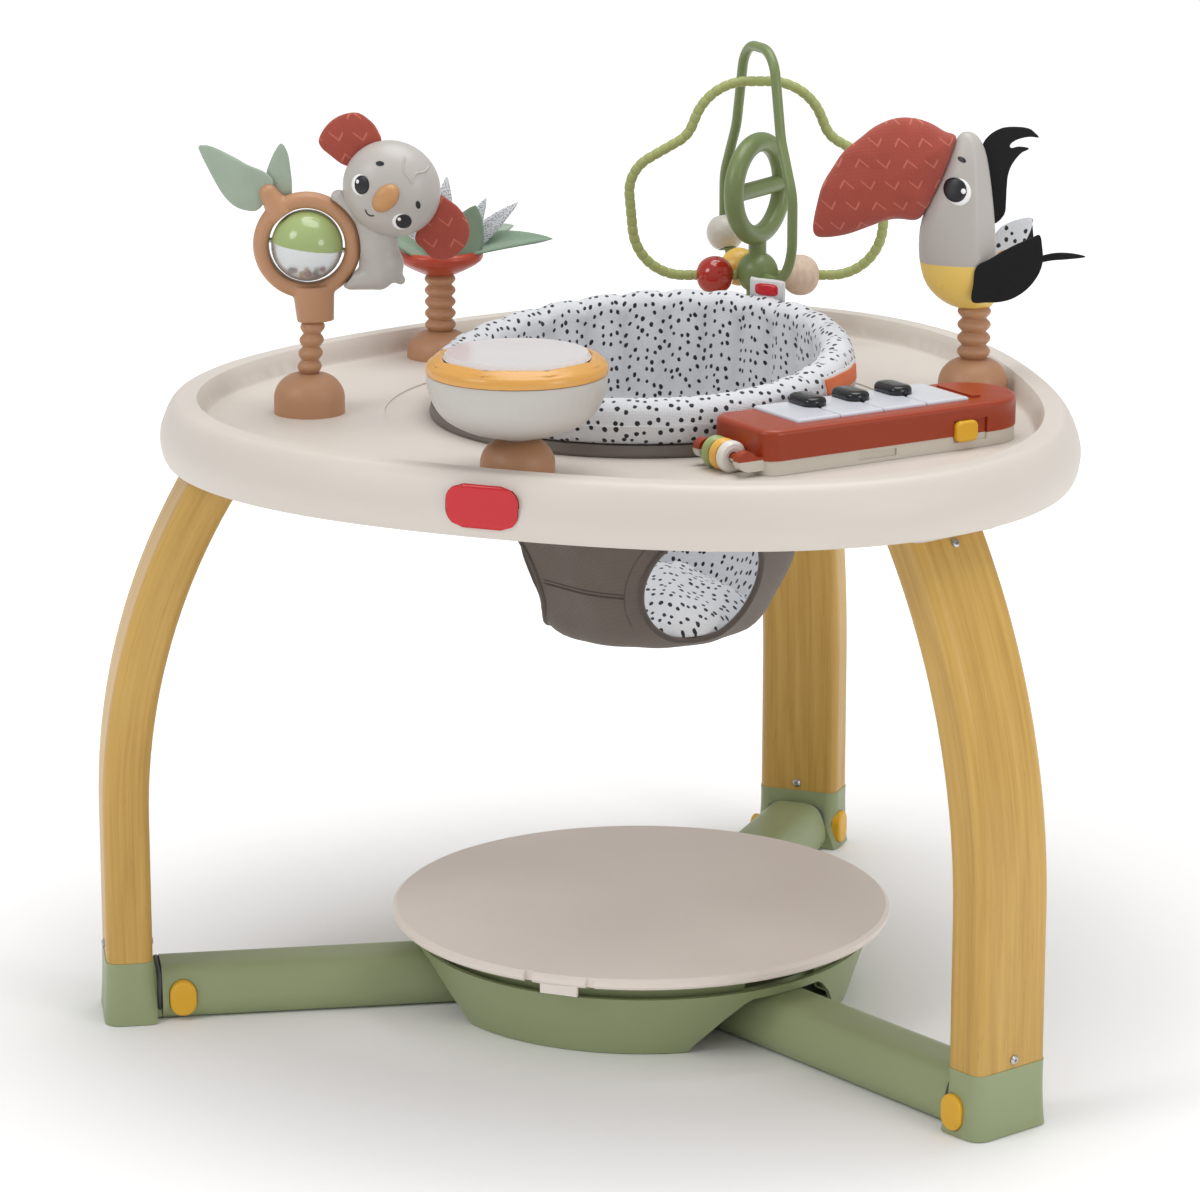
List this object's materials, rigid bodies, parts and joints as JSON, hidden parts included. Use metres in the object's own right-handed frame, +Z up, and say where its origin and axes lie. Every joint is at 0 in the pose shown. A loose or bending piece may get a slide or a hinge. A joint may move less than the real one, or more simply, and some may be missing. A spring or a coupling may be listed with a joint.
{
  "type": "activity jumper",
  "caption": "Toddler activity table: rounded-triangle toy tray on three curved legs, a turning padded fabric seat in the middle, and a sprung round footboard below.",
  "frame": {"origin": "on the floor on the seat's axis, at the middle of the hub's flat underside", "axes": "+Z up; -Y towards the tray's straight front side; legs at 90, 210 and 330 degrees about +Z"},
  "size_m": [0.7726, 0.7574, 0.7182],
  "materials": {
    "tray_cream": "fine satin moulding",
    "leg_wood": "satin wood look",
    "base_green": "satin moulding",
    "button_yellow": "satin",
    "screw_steel": "bright zinc",
    "footboard_beige": "fine texture",
    "spring_steel": "drawn wire",
    "seat_ring_taupe": "matte",
    "seat_dotted_fabric": "printed cotton with dark dots",
    "pouch_taupe_fabric": "plain weave",
    "toy_tan": "satin elastomer",
    "rattle_green": "gloss",
    "rattle_clear": "clear plastic",
    "pellet_mixed": "gloss",
    "toy_grey": "satin",
    "rust_fabric": "woven, printed",
    "sage_fabric": "brushed weave",
    "cup_rust": "satin",
    "drum_bowl_white": "satin",
    "drum_yellow": "gloss",
    "drum_head_clear": "tinted clear plastic",
    "post_green": "satin gloss",
    "loop_green": "ribbed",
    "bead_red": "lacquer",
    "bead_wood": "bare wood",
    "bead_yellow": "lacquer",
    "bead_pale": "lacquer",
    "feather_black": "felt",
    "piano_cream": "satin",
    "piano_rust": "satin",
    "key_white": "gloss",
    "key_black": "gloss",
    "ring_green": "gloss",
    "ring_yellow": "gloss",
    "ring_white": "gloss"
  },
  "bodies": {
    "frame": {"tray": "tray_cream", "leg_back": "leg_wood", "leg_left": "leg_wood", "leg_right": "leg_wood", "foot_back": "base_green", "foot_left": "base_green", "foot_right": "base_green", "arm_back": "base_green", "arm_left": "base_green", "arm_right": "base_green", "hub": "base_green", "leg_screws": "screw_steel", "toy_sockets": "toy_tan", "footboard_springs": "spring_steel", "drum_bowl": "drum_bowl_white", "drum_rim": "drum_yellow", "drum_head": "drum_head_clear", "bead_post": "post_green", "loop_outer": "loop_green", "piano_base": "piano_cream", "piano_top": "piano_rust", "piano_black_keys": "key_black"},
    "seat": {"seat_ring": "seat_ring_taupe", "seat_cushion": "seat_dotted_fabric", "seat_pouch": "pouch_taupe_fabric"},
    "footboard": {"footboard": "footboard_beige", "footboard_skirt": "base_green"},
    "koala": {"koala_stem": "toy_tan", "branch_ring": "toy_tan", "koala_body": "toy_grey", "koala_ears": "rust_fabric", "branch_leaves": "sage_fabric"},
    "rattle": {"rattle_cap": "rattle_green", "rattle_bowl": "rattle_clear", "rattle_pellets": "pellet_mixed"},
    "flower": {"flower_stem": "toy_tan", "flower_cup": "cup_rust", "flower_leaves": "sage_fabric"},
    "toucan": {"toucan_stem": "toy_tan", "toucan_body": "toy_grey", "toucan_beak": "rust_fabric", "toucan_feathers": "feather_black"},
    "bead_red": {"bead_red": "bead_red"},
    "bead_wood": {"bead_wood": "bead_wood"},
    "bead_yellow": {"bead_yellow": "bead_yellow"},
    "bead_pale": {"bead_pale": "bead_pale"},
    "piano_slider": {"piano_slider": "button_yellow"},
    "white_key_1": {"white_key_1": "key_white"},
    "white_key_2": {"white_key_2": "key_white"},
    "white_key_3": {"white_key_3": "key_white"},
    "white_key_4": {"white_key_4": "key_white"},
    "piano_ring_green": {"piano_ring_green": "ring_green"},
    "piano_ring_yellow": {"piano_ring_yellow": "ring_yellow"},
    "piano_ring_white": {"piano_ring_white": "ring_white"},
    "release_foot_back": {"release_foot_back": "button_yellow"},
    "release_arm_back": {"release_arm_back": "button_yellow"},
    "release_foot_left": {"release_foot_left": "button_yellow"},
    "release_arm_left": {"release_arm_left": "button_yellow"},
    "release_foot_right": {"release_foot_right": "button_yellow"},
    "release_arm_right": {"release_arm_right": "button_yellow"}
  },
  "joints": [
    {"name": "seat_spin", "type": "hinge", "parent": "frame", "child": "seat", "pos_m": [0, 0, 0.4695], "axis": [0, 0, 1], "continuous": true},
    {"name": "footboard_bounce", "type": "slide", "parent": "frame", "child": "footboard", "axis": [0, 0, 1], "range_m": [-0.012, 0], "stiffness_N_per_m": 9000, "springref_m": 0.003, "deforming": ["footboard_springs"]},
    {"name": "koala_sway", "type": "hinge", "parent": "frame", "child": "koala", "pos_m": [-0.238, -0.099, 0.508], "axis": [-0.3584, 0.9336, 0], "range_deg": [-8, 8], "stiffness_Nm_per_rad": 8},
    {"name": "flower_sway", "type": "hinge", "parent": "frame", "child": "flower", "pos_m": [-0.226, 0.1345, 0.5], "axis": [-0.3584, 0.9336, 0], "range_deg": [-8, 8], "stiffness_Nm_per_rad": 4},
    {"name": "toucan_sway", "type": "hinge", "parent": "frame", "child": "toucan", "pos_m": [0.2255, 0.1395, 0.512], "axis": [-0.3584, 0.9336, 0], "range_deg": [-8, 8], "stiffness_Nm_per_rad": 12},
    {"name": "rattle_spin", "type": "hinge", "parent": "koala", "child": "rattle", "pos_m": [-0.238, -0.099, 0.6006], "axis": [0.9245, 0.3549, -0.1392], "continuous": true},
    {"name": "bead_red_slide", "type": "slide", "parent": "frame", "child": "bead_red", "axis": [-0.9336, -0.3584, 0], "range_m": [0, 0.01]},
    {"name": "bead_wood_slide", "type": "slide", "parent": "frame", "child": "bead_wood", "axis": [0.9336, 0.3584, 0], "range_m": [0, 0.01]},
    {"name": "bead_yellow_slide", "type": "hinge", "parent": "frame", "child": "bead_yellow", "pos_m": [-0.02527, 0.31031, 0.5645], "axis": [0.7254, 0.6884, 0], "range_deg": [0, 4]},
    {"name": "bead_pale_slide", "type": "hinge", "parent": "frame", "child": "bead_pale", "pos_m": [-0.02527, 0.31031, 0.5645], "axis": [0.7254, 0.6884, 0], "range_deg": [-4, 20]},
    {"name": "white_key_1_press", "type": "hinge", "parent": "frame", "child": "white_key_1", "pos_m": [0.18152, -0.04474, 0.5], "axis": [0.6046, 0.7965, 0], "range_deg": [0, 2], "stiffness_Nm_per_rad": 0.6, "springref_deg": -3.44},
    {"name": "white_key_2_press", "type": "hinge", "parent": "frame", "child": "white_key_2", "pos_m": [0.18152, -0.04474, 0.5], "axis": [0.6046, 0.7965, 0], "range_deg": [0, 2], "stiffness_Nm_per_rad": 0.6, "springref_deg": -3.44},
    {"name": "white_key_3_press", "type": "hinge", "parent": "frame", "child": "white_key_3", "pos_m": [0.18152, -0.04474, 0.5], "axis": [0.6046, 0.7965, 0], "range_deg": [0, 2], "stiffness_Nm_per_rad": 0.6, "springref_deg": -3.44},
    {"name": "white_key_4_press", "type": "hinge", "parent": "frame", "child": "white_key_4", "pos_m": [0.18152, -0.04474, 0.5], "axis": [0.6046, 0.7965, 0], "range_deg": [0, 2], "stiffness_Nm_per_rad": 0.6, "springref_deg": -3.44},
    {"name": "piano_slider_slide", "type": "slide", "parent": "frame", "child": "piano_slider", "axis": [0.6046, 0.7965, 0], "range_m": [0, 0.01]},
    {"name": "piano_ring_green_spin", "type": "hinge", "parent": "frame", "child": "piano_ring_green", "pos_m": [0.11962, -0.16598, 0.4815], "axis": [-0.7965, 0.6046, 0], "continuous": true},
    {"name": "piano_ring_yellow_spin", "type": "hinge", "parent": "frame", "child": "piano_ring_yellow", "pos_m": [0.12759, -0.17203, 0.4815], "axis": [-0.7965, 0.6046, 0], "continuous": true},
    {"name": "piano_ring_white_spin", "type": "hinge", "parent": "frame", "child": "piano_ring_white", "pos_m": [0.13555, -0.17808, 0.4815], "axis": [-0.7965, 0.6046, 0], "continuous": true},
    {"name": "release_foot_back_press", "type": "slide", "parent": "frame", "child": "release_foot_back", "axis": [-1, 0, 0], "range_m": [0, 0.0025], "stiffness_N_per_m": 400, "springref_m": -0.003},
    {"name": "release_arm_back_press", "type": "slide", "parent": "frame", "child": "release_arm_back", "axis": [1, 0, 0], "range_m": [0, 0.0025], "stiffness_N_per_m": 400, "springref_m": -0.003},
    {"name": "release_foot_left_press", "type": "slide", "parent": "frame", "child": "release_foot_left", "axis": [0.5, -0.866, 0], "range_m": [0, 0.0025], "stiffness_N_per_m": 400, "springref_m": -0.003},
    {"name": "release_arm_left_press", "type": "slide", "parent": "frame", "child": "release_arm_left", "axis": [-0.5, 0.866, 0], "range_m": [0, 0.0025], "stiffness_N_per_m": 400, "springref_m": -0.003},
    {"name": "release_foot_right_press", "type": "slide", "parent": "frame", "child": "release_foot_right", "axis": [0.5, 0.866, 0], "range_m": [0, 0.0025], "stiffness_N_per_m": 400, "springref_m": -0.003},
    {"name": "release_arm_right_press", "type": "slide", "parent": "frame", "child": "release_arm_right", "axis": [-0.5, -0.866, 0], "range_m": [0, 0.0025], "stiffness_N_per_m": 400, "springref_m": -0.003}
  ]
}
